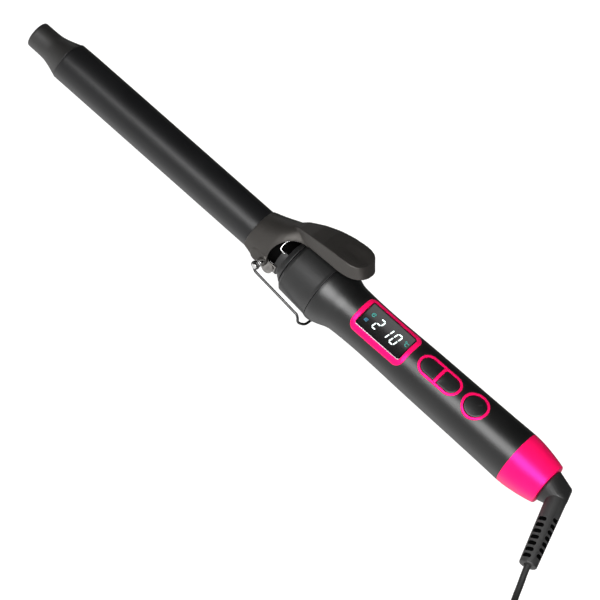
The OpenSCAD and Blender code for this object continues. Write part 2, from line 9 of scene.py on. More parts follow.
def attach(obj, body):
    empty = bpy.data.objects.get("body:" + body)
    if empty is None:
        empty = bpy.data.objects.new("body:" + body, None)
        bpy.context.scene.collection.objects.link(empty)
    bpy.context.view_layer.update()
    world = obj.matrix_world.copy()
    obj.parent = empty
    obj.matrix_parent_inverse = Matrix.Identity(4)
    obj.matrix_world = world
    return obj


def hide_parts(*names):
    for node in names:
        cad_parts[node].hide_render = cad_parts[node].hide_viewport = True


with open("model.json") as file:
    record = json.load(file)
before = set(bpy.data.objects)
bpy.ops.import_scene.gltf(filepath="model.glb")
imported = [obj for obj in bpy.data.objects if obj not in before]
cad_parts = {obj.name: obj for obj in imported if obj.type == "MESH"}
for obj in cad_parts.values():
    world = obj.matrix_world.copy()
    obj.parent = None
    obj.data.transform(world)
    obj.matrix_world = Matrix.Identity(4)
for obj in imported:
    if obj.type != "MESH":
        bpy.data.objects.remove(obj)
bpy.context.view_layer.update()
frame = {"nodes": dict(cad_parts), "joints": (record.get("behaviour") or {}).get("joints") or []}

# ---- Frames
# WAND: the wand's own axes, in millimetres: +X from the cool tip to the cord, +Z to the thumb lever.
# FACE: the same, turned so that +Z is square to the controls. ROW: the CAD model's axes, in millimetres.

MM = 0.001
JOINTS = {joint["name"]: joint for joint in frame["joints"]}
HINGE = Vector((200.0, 0.0, -4.0))
along = Vector(JOINTS["cord_swivel"]["axis"]).normalized()
side = Vector((0.0, 1.0, 0.0))
TURN = Matrix((along, side, along.cross(side))).transposed()
WAND = Matrix.Translation(Vector(JOINTS["clamp_hinge"]["pos_m"]) - TURN @ HINGE * MM) @ TURN.to_4x4()
WAND = WAND @ Matrix.Scale(MM, 4)
FACE_ANGLE = radians(30)
FACE = WAND @ Matrix.Rotation(FACE_ANGLE, 4, "X")
ROW = Matrix.Scale(MM, 4)

# ---- Sizes, in millimetres

BARREL_R = 12.5
BARREL_IN = 11.6
TIP_LEN = 26.3
RIM_R = 12.6
BARREL_END = 198.5
CLIP_IN = 12.8
CLIP_OUT = 13.5
CLIP_ANGLE = 76.0
SADDLE_X = 184.3
SADDLE_IN = 13.6
EAR_IN = 13.8
EAR_OUT = 15.6
PIN_R = 2.0
AXLE_R = 1.2
EYE_Y = 22.0
WIRE_R = 0.8
STAND_X = 242.0
STAND_DROP = 22.0
SLEEVE_X = 239.6
NECK_X = 206.8
NECK_R = 12.7
GROOVE_R = 9.5
COLLAR_X = 215.2
BUSH_R = 15.8
BUSH_END = 238.0
SPIGOT_R = 17.1
CAP_X = 389.6
CAP_END = 414.3
SLEEVE_WALL = 1.8
KEY_Y = 1.0
# Outlines on the face are (start, end, half width, corner, middle).
BEZEL = (264.5, 305.2, 11.8, 4.6, 0.0)
BEZEL_BAND = 3.0
LENS = (267.55, 302.15, 8.75, 1.5, 0.0)
LENS_LOW = 12.5
LENS_TOP = 14.6
OBLONG = (310.8, 342.0, 7.2, 7.2, KEY_Y)
RING_BAND = 1.65
DIVIDER = 2.0
POWER_X = 354.0
POWER_R = 8.85
POWER_RING = (POWER_X - POWER_R, POWER_X + POWER_R, POWER_R, POWER_R, KEY_Y)
KEY_GAP = 0.2
BUTTON_LOW = 11.4
STEM_LOW = 9.25
STEM_R = 2.5
CORD_D = 4.0
RELIEF_LEN = 44.2
RELIEF_TOP = Vector((424.5, -6.5, 1.5))
RELIEF_R = (6.25, 5.5)
SLOT_FIRST = 13.0
SLOT_PITCH = 4.0
SLOT_HALF = 1.25
CORD_ROUTE = [(223.7, -39.9, 13.2), (224.4, -41.6, 12.2), (226.7, -46.5, 9.4), (229.7, -52.4, 6),
              (232.4, -58.5, 3.4), (235.2, -65, 2.2), (239, -71.5, 2), (244.5, -77.5, 2), (252, -82, 2),
              (261.5, -84.6, 2), (271.5, -85, 2), (281, -85, 2)]
COIL_CENTRE = (287.0, -57.0)
COIL_MEAN_R = 24.0
TAIL_ROUTE = [(315, -51, 6), (315, -46, 6.3), (315, -41, 6.7), (315, -35, 6.85)]
PLUG_AT = (315.0, -23.0, 6.85)
PLUG_PITCH = 18.6

relief_way = (WAND.inverted() @ (Vector(CORD_ROUTE[1]) * MM) - RELIEF_TOP).normalized()


# ---- Shapes
# A shape is (list of points, list of faces).

def smooth_line(points, steps):
    """Smooth curve through a list of points."""
    line = []
    last = len(points) - 1
    for i in range(last):
        a, b, c, d = (Vector(points[j]) for j in (max(i - 1, 0), i, i + 1, min(i + 2, last)))
        for k in range(steps):
            t = k / steps
            line.append(b + (c - a) * t / 2 + (a - 2.5 * b + 2 * c - d / 2) * t * t
                        + (1.5 * b - a / 2 - 1.5 * c + d / 2) * t ** 3)
    line.append(Vector(points[last]))
    return line


def rounded(corners, steps=6):
    """Closed outline whose corners, each (x, y, radius), are rounded."""
    line = []
    count = len(corners)
    for i, (x, y, radius) in enumerate(corners):
        here = Vector((x, y))
        if radius == 0:
            line.append(here)
            continue
        before = Vector(corners[i - 1][:2]) - here
        after = Vector(corners[(i + 1) % count][:2]) - here
        half = before.angle(after) / 2
        run = min(radius / tan(half), before.length * 0.49, after.length * 0.49)
        arc_r = run * tan(half)
        centre = here + (before.normalized() + after.normalized()).normalized() * arc_r / sin(half)
        start = here + before.normalized() * run - centre
        end = here + after.normalized() * run - centre
        for k in range(steps + 1):
            line.append(centre + start.lerp(end, k / steps).normalized() * arc_r)
    return line


def divided(loop, longest):
    """The same closed loop with no edge longer than the given length."""
    line = []
    for i, here in enumerate(loop):
        after = loop[(i + 1) % len(loop)]
        parts = max(1, ceil((after - here).length / longest))
        line += [here.lerp(after, k / parts) for k in range(parts)]
    return line


def joined(*shapes):
    """Several shapes as one."""
    points, faces = [], []
    for more, more_faces in shapes:
        faces += [tuple(i + len(points) for i in face) for face in more_faces]
        points += more
    return points, faces


def moved(shape, matrix):
    return [matrix @ Vector(p) for p in shape[0]], shape[1]


def rings(loops, closed=False, caps=True):
    """Skin over loops of the same number of points; closed joins the last loop to the first."""
    count = len(loops[0])
    points = [p for loop in loops for p in loop]
    faces = []
    pairs = len(loops) if closed else len(loops) - 1
    for i in range(pairs):
        low, high = i * count, (i + 1) % len(loops) * count
        for k in range(count):
            n = (k + 1) % count
            faces.append((low + k, low + n, high + n, high + k))
    if caps and not closed:
        faces.append(tuple(range(count - 1, -1, -1)))
        faces.append(tuple(range(len(points) - count, len(points))))
    return points, faces


def ribbed(loops, across=16):
    """Skin over loops that mirror themselves, with caps made of divided strips from side to side."""
    points, faces = rings(loops, caps=False)
    count = len(loops[0])
    for first in (0, len(points) - count):
        order = -1 if first == 0 else 1
        rows = []
        for k in range(1, count // 2):
            a, b = first + k, first + count - 1 - k
            inner = range(len(points), len(points) + across - 1)
            points += [points[a].lerp(points[b], j / across) for j in range(1, across)]
            rows.append([a, *inner, b])
        faces.append((first, *rows[0], first + count - 1)[::order])
        tip = first + count // 2
        rows.append([tip] * (across + 1))
        for near, far in zip(rows, rows[1:]):
            for j in range(across):
                corners = dict.fromkeys((near[j], far[j], far[j + 1], near[j + 1]))
                faces.append(tuple(corners)[::order])
    return points, faces


def lathe(outline, count=160):
    """Closed outline of (x, radius) turned about the X axis."""
    loops = []
    for k in range(count):
        a = tau * k / count
        loops.append([Vector((x, r * sin(a), r * cos(a))) for x, r in outline])
    return rings(loops, closed=True)


def swept(path, radius, sides=16):
    """Round bar along a path, with domed ends; radius is a number or a function of the path's share."""
    path = [Vector(p) for p in path]
    last = len(path) - 1
    way = (path[1] - path[0]).normalized()
    across = way.orthogonal().normalized()
    loops = []
    for i, p in enumerate(path):
        turned = (path[min(i + 1, last)] - path[max(i - 1, 0)]).normalized()
        across = (across - turned * across.dot(turned)).normalized()
        other = turned.cross(across)
        r = radius(i / last) if callable(radius) else radius
        loop_at = [(0.0, r)]
        if i == 0:
            loop_at = [(-r * 0.6, r * 0.3), (-r * 0.4, r * 0.75), (0.0, r)]
        if i == last:
            loop_at = [(0.0, r), (r * 0.4, r * 0.75), (r * 0.6, r * 0.3)]
        for ahead, size in loop_at:
            loops.append([p + turned * ahead + size * (across * cos(tau * k / sides)
                                                       + other * sin(tau * k / sides))
                          for k in range(sides)])
    return rings(loops)


def prism(loop, low, high):
    """Flat outline of (x, y) stood up between two heights."""
    return rings([[Vector((p[0], p[1], z)) for p in loop] for z in (low, high)])


def on_circle(centre, r, a):
    return Vector((centre[0] + r * cos(a), centre[1] + r * sin(a)))


def disc_outline(x, z, r, count=64):
    return [on_circle((x, z), r, tau * k / count) for k in range(count)]


def crosswise(loop, low, high):
    """Flat outline of (x, z) carried along Y between two places."""
    return rings([[Vector((p[0], y, p[1])) for p in loop] for y in (low, high)])


def block(low, high):
    (x0, y0, z0), (x1, y1, z1) = low, high
    return prism([(x0, y0), (x1, y0), (x1, y1), (x0, y1)], z0, z1)


def hull(points):
    """Convex shape round a list of points."""
    bm = bmesh.new()
    for p in points:
        bm.verts.new(p)
    found = bmesh.ops.convex_hull(bm, input=bm.verts)
    unused = {e for e in found["geom_interior"] + found["geom_unused"] if isinstance(e, bmesh.types.BMVert)}
    bmesh.ops.delete(bm, geom=list(unused), context="VERTS")
    bm.verts.index_update()
    shape = [v.co.copy() for v in bm.verts], [tuple(v.index for v in f.verts) for f in bm.faces]
    bm.free()
    return shape


def ball(centre, r, count=28):
    points = []
    for i in range(1, count // 2):
        tilt = pi * i / (count // 2)
        for k in range(count):
            a = tau * k / count
            points.append(Vector(centre) + r * Vector((sin(tilt) * cos(a), sin(tilt) * sin(a), cos(tilt))))
    return points + [Vector(centre) + Vector((0, 0, r)), Vector(centre) - Vector((0, 0, r))]


# ---- Pieces

def added(name, data):
    thing = bpy.data.objects.new(name, data)
    bpy.context.scene.collection.objects.link(thing)
    return thing


def new_object(name, shape, place):
    mesh = bpy.data.meshes.new(name)
    mesh.from_pydata([place @ Vector(p) for p in shape[0]], [], shape[1])
    bm = bmesh.new()
    bm.from_mesh(mesh)
    bmesh.ops.remove_doubles(bm, verts=bm.verts, dist=1e-7)
    bmesh.ops.recalc_face_normals(bm, faces=bm.faces)
    bm.to_mesh(mesh)
    bm.free()
    return added(name, mesh)


def baked(piece):
    """Turns the piece's modifiers into its mesh."""
    graph = bpy.context.evaluated_depsgraph_get()
    mesh = bpy.data.meshes.new_from_object(piece.evaluated_get(graph))
    old = piece.data
    piece.modifiers.clear()
    piece.data = mesh
    bpy.data.meshes.remove(old)
    mesh.name = piece.name
    return piece


def cut(piece, shape, place):
    """Takes a closed shape out of a piece."""
    tool = new_object("cutter", shape, place)
    change = piece.modifiers.new("cut", "BOOLEAN")
    change.operation = "DIFFERENCE"
    change.solver = "EXACT"
    change.object = tool
    baked(piece)
    mesh = tool.data
    bpy.data.objects.remove(tool)
    bpy.data.meshes.remove(mesh)
    return piece


def softened(piece, voxel, passes):
    """Rebuilds a piece as one even skin, then rounds its edges."""
    skin = piece.modifiers.new("skin", "REMESH")
    skin.mode = "VOXEL"
    skin.voxel_size = voxel * MM
    even = piece.modifiers.new("even", "SMOOTH")
    even.factor = 0.5
    even.iterations = passes
    return baked(piece)


def place_piece(piece, material, body="wand", nodes=None, sharp=32.0):
    """Finish, smooth shading, body and the CAD nodes that the piece stands for.

    A piece called NODE_piece stands for that node, unless nodes says otherwise.
    """
    piece.data.materials.clear()
    piece.data.materials.append(material)
    piece.data.shade_smooth()
    if sharp:
        piece.data.set_sharp_from_angle(angle=radians(sharp))
    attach(piece, body)
    if nodes is None and piece.name.endswith("_piece"):
        nodes = (piece.name.removesuffix("_piece"),)
    if nodes:
        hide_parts(*nodes)
    return piece


def build(name, shape, material, body="wand", place=WAND, nodes=None, sharp=32.0):
    return place_piece(new_object(name, shape, place), material, body, nodes, sharp)


def shaded(piece, place, chosen):
    """Darkens the faces whose middle, in the axes of place, is chosen."""
    piece.data.materials.append(slot_shade)
    own_axes = place.inverted()
    for face in piece.data.polygons:
        face.material_index = int(chosen(own_axes @ face.center))


# ---- Materials


def mixed(tree, first, second, share):
    """Result of mixing two colours, each given as numbers or as a socket."""
    node = tree.nodes.new("ShaderNodeMix")
    node.data_type = "RGBA"
    for key, colour in (("A", first), ("B", second)):
        if isinstance(colour, bpy.types.NodeSocket):
            tree.links.new(colour, node.inputs[key])
        else:
            node.inputs[key].default_value = (*colour, 1)
    tree.links.new(share, node.inputs["Factor"])
    return node.outputs["Result"]


def surface(name, dark, light, rough, grain, depth, patch=14.0, stretch=(1, 1, 1), edge=0.0, **fixed):
    """Colour that drifts between two tones in patches, worn edges, uneven roughness and a fine grain.

    Grain and patch sizes and the bump's depth are in millimetres; fixed holds the shader's own values.
    """
    material = bpy.data.materials.new(name)
    material.use_nodes = True
    nodes, links = material.node_tree.nodes, material.node_tree.links
    shader = nodes["Principled BSDF"]
    coords = nodes.new("ShaderNodeTexCoord")
    mapping = nodes.new("ShaderNodeMapping")
    mapping.inputs["Scale"].default_value = stretch
    links.new(coords.outputs["Object"], mapping.inputs["Vector"])

    def noise(size, detail):
        node = nodes.new("ShaderNodeTexNoise")
        node.inputs["Scale"].default_value = 1 / (size * MM)
        node.inputs["Detail"].default_value = detail
        links.new(mapping.outputs["Vector"], node.inputs["Vector"])
        return node.outputs[0]

    def ramp(value, low, high, low_to, high_to):
        node = nodes.new("ShaderNodeMapRange")
        for key, number in zip(("From Min", "From Max", "To Min", "To Max"), (low, high, low_to, high_to)):
            node.inputs[key].default_value = number
        links.new(value, node.inputs["Value"])
        return node.outputs["Result"]

    patches = noise(patch, 4)
    grains = noise(grain, 3)
    colour = mixed(material.node_tree, dark, light, ramp(patches, 0.35, 0.65, 0, 1))
    if edge:
        shape = nodes.new("ShaderNodeNewGeometry")
        worn = [min(1, c + edge) for c in light]
        share = ramp(shape.outputs["Pointiness"], 0.51, 0.58, 0, 1)
        colour = mixed(material.node_tree, colour, worn, share)
    links.new(colour, shader.inputs["Base Color"])
    links.new(ramp(grains, 0.3, 0.7, rough * 0.88, rough * 1.12), shader.inputs["Roughness"])
    bump = nodes.new("ShaderNodeBump")
    bump.inputs["Strength"].default_value = 0.6
    bump.inputs["Distance"].default_value = depth * MM
    links.new(grains, bump.inputs["Height"])
    links.new(bump.outputs["Normal"], shader.inputs["Normal"])
    for socket, value in fixed.items():
        shader.inputs[socket.replace("_", " ")].default_value = value
    return material


def glow(name, colour, strength):
    """Lit part of the display, a little uneven like a real lamp behind a mask."""
    material = surface(name, [c * 0.5 for c in colour], [c * 0.6 for c in colour], 0.5, 0.3, 0.002)
    tree = material.node_tree
    shader = tree.nodes["Principled BSDF"]
    noise = tree.nodes.new("ShaderNodeTexNoise")
    noise.inputs["Scale"].default_value = 900
    lit = mixed(tree, [c * 0.9 for c in colour], colour, noise.outputs[0])
    tree.links.new(lit, shader.inputs["Emission Color"])
    shader.inputs["Emission Strength"].default_value = strength
    return material


def grey(level, warm=0.0):
    return (level * (1 + warm), level, level * (1 - warm))


METAL = {"Metallic": 1.0, "patch": 3}
DRAWN = {**METAL, "stretch": (0.2, 1, 1)}
tip_plastic = surface("tip_plastic", grey(0.006, 0.08), grey(0.008, 0.08), 0.52, 0.35, 0.006, edge=0.01,
                      Specular_IOR_Level=0.85)
barrel_coating = surface("barrel_coating", (0.0045, 0.0045, 0.005), (0.0065, 0.0065, 0.007), 0.36, 0.18,
                         0.003, patch=30)
lever_plastic = surface("lever_plastic", grey(0.013, 0.08), grey(0.016, 0.08), 0.47, 0.30, 0.004, edge=0.01,
                        IOR=1.5, Specular_IOR_Level=0.7, Specular_Tint=(1.0, 0.95, 0.90, 1.0))
handle_plastic = surface("handle_plastic", grey(0.004), grey(0.006), 0.35, 0.22, 0.003, patch=26, edge=0.005,
                         Specular_IOR_Level=0.6)
collar_plastic = surface("collar_plastic", grey(0.010), grey(0.013), 0.46, 0.30, 0.005, edge=0.015)
pink_gloss = surface("pink_gloss", (0.80, 0.003, 0.085), (0.82, 0.005, 0.10), 0.34, 0.5, 0.002, patch=20,
                     Specular_IOR_Level=0.85, Specular_Tint=(1.0, 0.1, 1.0, 1.0))
lens_glass = surface("lens_glass", grey(0.004), grey(0.006), 0.07, 0.8, 0.0005, patch=25,
                     Coat_Weight=1.0, Coat_Roughness=0.03)
display_black = surface("display_black", grey(0.006), grey(0.010), 0.35, 0.4, 0.003)
button_plastic = surface("button_plastic", grey(0.004), grey(0.006), 0.42, 0.22, 0.004, edge=0.01)
chrome = surface("chrome", grey(0.55), grey(0.68), 0.14, 0.20, 0.002, **DRAWN)
wire_chrome = surface("wire_chrome", grey(0.06), grey(0.08), 0.16, 0.20, 0.002, **DRAWN)
bracket_steel = surface("bracket_steel", grey(0.20, 0.04), grey(0.28, 0.04), 0.24, 0.15, 0.003, **METAL)
screw_steel = surface("screw_steel", grey(0.40), grey(0.52), 0.26, 0.12, 0.003, patch=2, Metallic=1.0)
aluminium = surface("aluminium", grey(0.50), grey(0.60), 0.36, 0.15, 0.003, patch=5, stretch=(0.1, 1, 1),
                    Metallic=1.0)
ceramic = surface("ceramic", (0.70, 0.68, 0.62), (0.80, 0.78, 0.72), 0.55, 0.3, 0.008, patch=5)
lead_insulation = surface("lead_insulation", (0.30, 0.03, 0.02), (0.36, 0.04, 0.03), 0.5, 0.4, 0.006, patch=6)
board = surface("board", (0.015, 0.11, 0.04), (0.02, 0.15, 0.05), 0.4, 0.6, 0.004, patch=2.5)
inner_plastic = surface("inner_plastic", grey(0.040), grey(0.055), 0.55, 0.4, 0.006)
brass = surface("brass", (0.62, 0.42, 0.14), (0.72, 0.50, 0.18), 0.25, 0.2, 0.003, **METAL)
relief_rubber = surface("relief_rubber", grey(0.008), grey(0.011), 0.50, 0.25, 0.008, edge=0.02)
cord_rubber = surface("cord_rubber", grey(0.010), grey(0.014), 0.48, 0.35, 0.008, patch=8)
plug_plastic = surface("plug_plastic", grey(0.011), grey(0.015), 0.45, 0.3, 0.006, edge=0.015)
pin_metal = surface("pin_metal", grey(0.58), grey(0.68), 0.22, 0.2, 0.002, **METAL)
# Light grey lens side wall: a painted highlight standing for the glint along the glass's lower edge.
lens_edge_painted_glint = surface("lens_edge_painted_glint", (0.62, 0.56, 0.60), (0.74, 0.70, 0.73), 0.25, 0.4, 0.003, patch=6)
digit_glow = glow("digit_glow", (0.86, 1.0, 0.97), 1.2)
icon_glow = glow("icon_glow", (0.03, 0.30, 0.26), 0.6)
blue_glow = glow("blue_glow", (0.03, 0.15, 0.24), 0.6)
slot_shade = surface("slot_shade", grey(0.002), grey(0.003), 0.9, 0.4, 0.002, Specular_IOR_Level=0.0)


# ---- Camera

CAMERA_TARGET = Vector((231.1, -9.68, -11.54))
CAMERA_DISTANCE = 2171.0
CAMERA_LENS = 220.0
CAMERA_TURN = radians(12)
CAMERA_ROLL = radians(41.55)
LOOK = Vector((0.0, -0.766, 0.643))


def add_camera():
    back = (LOOK * cos(CAMERA_TURN) + Vector((sin(CAMERA_TURN), 0, 0))).normalized()
    level = (Vector((1, 0, 0)) - back * back.x).normalized()
    rise = back.cross(level)
    right = level * cos(CAMERA_ROLL) + rise * sin(CAMERA_ROLL)
    upward = rise * cos(CAMERA_ROLL) - level * sin(CAMERA_ROLL)
    lens = bpy.data.cameras.new("camera")
    lens.lens = CAMERA_LENS
    lens.clip_start = 0.05
    camera = added("camera", lens)
    turn = TURN @ Matrix((right, upward, back)).transposed()
    place = Matrix.Translation(WAND @ (CAMERA_TARGET + back * CAMERA_DISTANCE))
    camera.matrix_world = place @ turn.to_4x4()
    bpy.context.scene.camera = camera


add_camera()


# ---- Cord

# Where each turn of the coil lies, as (column, layer), in the order that it is wound. The last isn't whole.
COIL_CELLS = [(2, 0), (1, 0), (0, 0), (0, 1), (0, 2), (0, 3), (1, 3), (2, 3), (2, 2), (1, 2), (1, 1), (2, 1)]
COIL_START = radians(-102)
COIL_LAST_ARC = radians(114)
TURN_POINTS = 36
STEP_SHARE = 0.25
TIE_HALF = 4.0
TIE_OUT = 0.45
TIE_IN = 0.05
TIE_ANGLE = radians(150)


def cell_middle(cell):
    """(radius, height) of the cord in a cell of the coil."""
    return Vector((COIL_MEAN_R + (cell[0] - 1) * CORD_D, (cell[1] + 0.5) * CORD_D))


def coil_points():
    """Turns beside and on each other; each moves over to the next one's place in its last quarter."""
    points = []
    for cell, next_cell in zip(COIL_CELLS, COIL_CELLS[1:] + COIL_CELLS[-1:]):
        here, after = cell_middle(cell), cell_middle(next_cell)
        arc = COIL_LAST_ARC if cell == next_cell else tau
        count = round(TURN_POINTS * arc / tau)
        for i in range(count):
            share = i / count
            step = max(0.0, (share - 1 + STEP_SHARE) / STEP_SHARE)
            r, z = here.lerp(after, step * step * (3 - 2 * step))
            a = COIL_START + share * arc
            points.append(Vector((*on_circle(COIL_CENTRE, r, a), z)))
    return points


def add_cord():
    path = smooth_line(CORD_ROUTE, 4)[:-1] + coil_points() + smooth_line(TAIL_ROUTE, 4)
    curve = bpy.data.curves.new("mains_cord", "CURVE")
    curve.dimensions = "3D"
    curve.bevel_depth = CORD_D / 2 * MM
    curve.bevel_resolution = 5
    curve.use_fill_caps = True
    spline = curve.splines.new("POLY")
    spline.points.add(len(path) - 1)
    for point, p in zip(spline.points, path):
        point.co = (*(Vector(p) * MM), 1)
    spline.use_smooth = True
    curve.materials.append(cord_rubber)
    cord = added("mains_cord", curve)
    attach(cord, "cord_end")
    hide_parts("cord", "cord_coil", "cord_tail")
    return cord


def cord_tie():
    """Soft strap round the stored turns of the cord."""
    reach, top = 1.5 * CORD_D, 4 * CORD_D
    loops = []
    corners = ((-TIE_HALF, TIE_OUT), (TIE_HALF, TIE_OUT), (TIE_HALF, -TIE_IN), (-TIE_HALF, -TIE_IN))
    for across, grow in corners:
        low, high, r = 0.5 - grow, top + grow, CORD_D / 2 + grow
        outline = rounded([(-reach - grow, low, r), (reach + grow, low, r), (reach + grow, high, r),
                           (-reach - grow, high, r)])
        loops.append([Vector((COIL_MEAN_R + p.x, across, p.y)) for p in outline])
    place = ROW @ Matrix.Translation((*COIL_CENTRE, 0)) @ Matrix.Rotation(TIE_ANGLE, 4, "Z")
    return build("cord_tie", rings(loops, closed=True), cord_rubber, "cord_end", place)


def relief_frame():
    """The strain relief's own axes: +Z runs from the elbow to the cord."""
    tilt = Matrix.Rotation(acos(relief_way.z), 4, "Y")
    swing = Matrix.Rotation(atan2(relief_way.y, relief_way.x), 4, "Z")
    return WAND @ Matrix.Translation(RELIEF_TOP) @ swing @ tilt


def strain_relief():
    """Rounded at the elbow, tapered to the cord, with four staggered rows of slots."""
    top, end = RELIEF_R
    outline = [Vector((-top * cos(radians(a)), top * sin(radians(a)))) for a in range(6, 91, 6)]
    outline += rounded([(0, top, 0), (RELIEF_LEN, end, 0.9), (RELIEF_LEN, 2.3, 0.25),
                        (RELIEF_LEN - 5, 2.2, 0), (RELIEF_LEN - 5, 0.05, 0), (-top, 0.05, 0)])[1:]
    upright = Matrix.Rotation(radians(-90), 4, "Y")
    piece = new_object("strain_relief_piece", moved(lathe(outline, 96), upright), relief_frame())
    slots = []
    for row in range(4):
        for k in range(7):
            z = SLOT_FIRST + SLOT_PITCH * (k + (row + 1) % 2 / 2) + 0.85
            low, high = z - SLOT_HALF, z + SLOT_HALF
            slot = rounded([(-2.8, low, 1.2), (2.8, low, 1.2), (2.8, high, 1.2), (-2.8, high, 1.2)])
            shape = rings([[Vector((x, p.x, p.y)) for p in slot] for x in (3.0, 9.0)])
            slots.append(moved(shape, Matrix.Rotation(radians(45 + 90 * row), 4, "Z")))
    cut(piece, joined(*slots), relief_frame())
    place_piece(piece, relief_rubber, "cord_end")

    def in_slot(p):
        skin = top + (end - top) * p.z / RELIEF_LEN
        return 12 < p.z < RELIEF_LEN - 2 and p.xy.length < skin - 0.25

    shaded(piece, relief_frame(), in_slot)
    return piece


def squircle(half_x, half_z, y, power, count=64):
    """Rounded rectangle across Y; a higher power is squarer."""
    loop = []
    for k in range(count):
        a = tau * k / count
        c, s = cos(a), sin(a)
        loop.append(Vector((half_x * copysign(abs(c) ** (2 / power), c), y,
                            half_z * copysign(abs(s) ** (2 / power), s))))
    return loop


def plug():
    sections = [(-0.5, 3.6, 3.6, 2.0), (0.3, 4.9, 4.9, 2.4), (5, 6.2, 5.7, 3), (10, 7.6, 6.35, 3.4),
                (14, 8.8, 6.8, 4), (19, 10.9, 6.84, 5), (24, 12.7, 6.84, 6), (27, 12.88, 6.84, 7),
                (33.8, 12.88, 6.84, 7), (34.6, 12.6, 6.55, 7), (35, 11.9, 6.0, 7)]
    body = rings([squircle(hx, hz, y, power) for y, hx, hz, power in sections])
    boot = [(-14, 0.5, 0), (-14, 3.2, 0.5)]
    for k in range(5):
        y = -12.6 + 2.4 * k
        r = 3.3 + 0.24 * k
        boot += [(y, r, 0.15), (y + 0.1, r - 0.7, 0.2), (y + 0.9, r - 0.65, 0.2), (y + 1.0, r + 0.05, 0.15)]
    boot += [(1, 4.6, 0.1), (1, 0.5, 0)]
    lengthwise = Matrix.Rotation(radians(90), 4, "Z")
    place = ROW @ Matrix.Translation(PLUG_AT)
    grooves = [block((-8.5, y, z), (8.5, y + 0.9, z + 0.5))
               for y in (20.5, 22.5, 24.5, 26.5) for z in (-7.2, 6.7)]
    piece = new_object("plug_housing", joined(body, moved(lathe(rounded(boot), 64), lengthwise)), place)
    cut(piece, joined(*grooves), place)
    pins = []
    for x in (-PLUG_PITCH / 2, PLUG_PITCH / 2):
        pin = rounded([(34.8, 0.05, 0), (34.8, 2.0, 0), (52.6, 2.0, 0.3), (54, 1.1, 0.4), (54, 0.05, 0)])
        pins.append(moved(lathe(pin, 40), Matrix.Translation((x, 0, 0)) @ lengthwise))
    housing = place_piece(piece, plug_plastic, "cord_end", ("plug_body",))
    contacts = build("plug_contacts", joined(*pins), pin_metal, "cord_end", place, ("plug_pins",))
    return housing, contacts


relief = strain_relief()
plug_housing, plug_contacts = plug()
cord = add_cord()
strap = cord_tie()


# ---- Barrel and tip

def cool_tip():
    outside = smooth_line([(0, 7.2), (0.3, 8.1), (1.2, 8.55), (4, 8.6), (9, 8.65), (13.5, 8.9), (17, 9.6),
                           (20.5, 10.6), (23.5, 11.6), (TIP_LEN - 0.25, RIM_R - 0.12)], 6)
    inside = [(TIP_LEN, RIM_R - 0.2, 0.1), (TIP_LEN, BARREL_IN - 0.02, 0), (36, BARREL_IN - 0.02, 0.3),
              (36, 6.2, 0), (8, 6.2, 0), (8, 1.6, 0), (3, 1.6, 0), (3, 3.2, 0), (0, 3.2, 0.3)]
    outline = [Vector(p) for p in outside] + rounded(inside)
    build("cool_tip_piece", lathe(outline), tip_plastic)


def barrel():
    outline = rounded([(TIP_LEN, BARREL_IN, 0), (TIP_LEN, BARREL_R, 0.25), (BARREL_END, BARREL_R, 0.2),
                       (BARREL_END, BARREL_IN, 0)])
    build("barrel_piece", lathe(outline), barrel_coating, nodes=("barrel_tube",))


def clip_plate():
    """Curved sheet with a rounded, slightly drawn-in front."""
    front, back = TIP_LEN + 0.5, 191.0
    stations = [front + 0.02 * k for k in range(4)] + [front + 0.3 * 1.35 ** k for k in range(13)]
    stations += [70.0, 100.0, 140.0, back]
    steps = 72
    loops = []
    for x in stations:
        gone = max(0.0, 1 - (x - front) / 7)
        half = CLIP_ANGLE - 26 * (1 - sqrt(max(0.0, 1 - gone * gone)))
        rise = min(1.0, (x - front) / 22)
        out = CLIP_OUT - 0.3 * (1 - rise) ** 2
        edge = 0.3 * max(0.0, 1 - (x - front) / 0.5)
        loop = []
        for r, reach, turn in ((out - edge * 0.8, half, 1), (CLIP_IN, half, -1)):
            for k in range(steps + 1):
                a = radians(turn * (-reach + 2 * reach * k / steps))
                loop.append(Vector((x, r * sin(a), r * cos(a))))
        loops.append(loop)
    build("clip_plate_piece", rings(loops), barrel_coating, "clamp")
    tongue = rounded([(190, CLIP_IN, 0), (190, CLIP_OUT, 0), (198, CLIP_OUT, 0.2), (198, CLIP_IN, 0)])
    arm = new_object("clip_tongue", lathe(tongue, 180), WAND)
    cut(arm, block((180, -20, -20), (205, 20, 11.6)), WAND)
    place_piece(arm, barrel_coating, "clamp")


# ---- Neck, collar and handle

CAP_R = 17.33
HANDLE_LINE = smooth_line([(SLEEVE_X, 20.6), (242.4, 20.5), (247.8, 19), (253.2, 16.9), (259.2, 16),
                           (280, 15.5), (316, 16.2), (345, 16.55), (373, 16.95), (CAP_X, CAP_R)], 12)


def handle_radius(x):
    for a, b in zip(HANDLE_LINE, HANDLE_LINE[1:]):
        if a.x <= x <= b.x:
            return a.y + (b.y - a.y) * (x - a.x) / (b.x - a.x)
    return HANDLE_LINE[0].y if x < HANDLE_LINE[0].x else HANDLE_LINE[-1].y


def face_height(x, w, lift):
    """Height of the handle's surface above its axis, w to the side of the controls' middle line."""
    r = handle_radius(x) + lift
    return sqrt(max(r * r - w * w, 0.01))


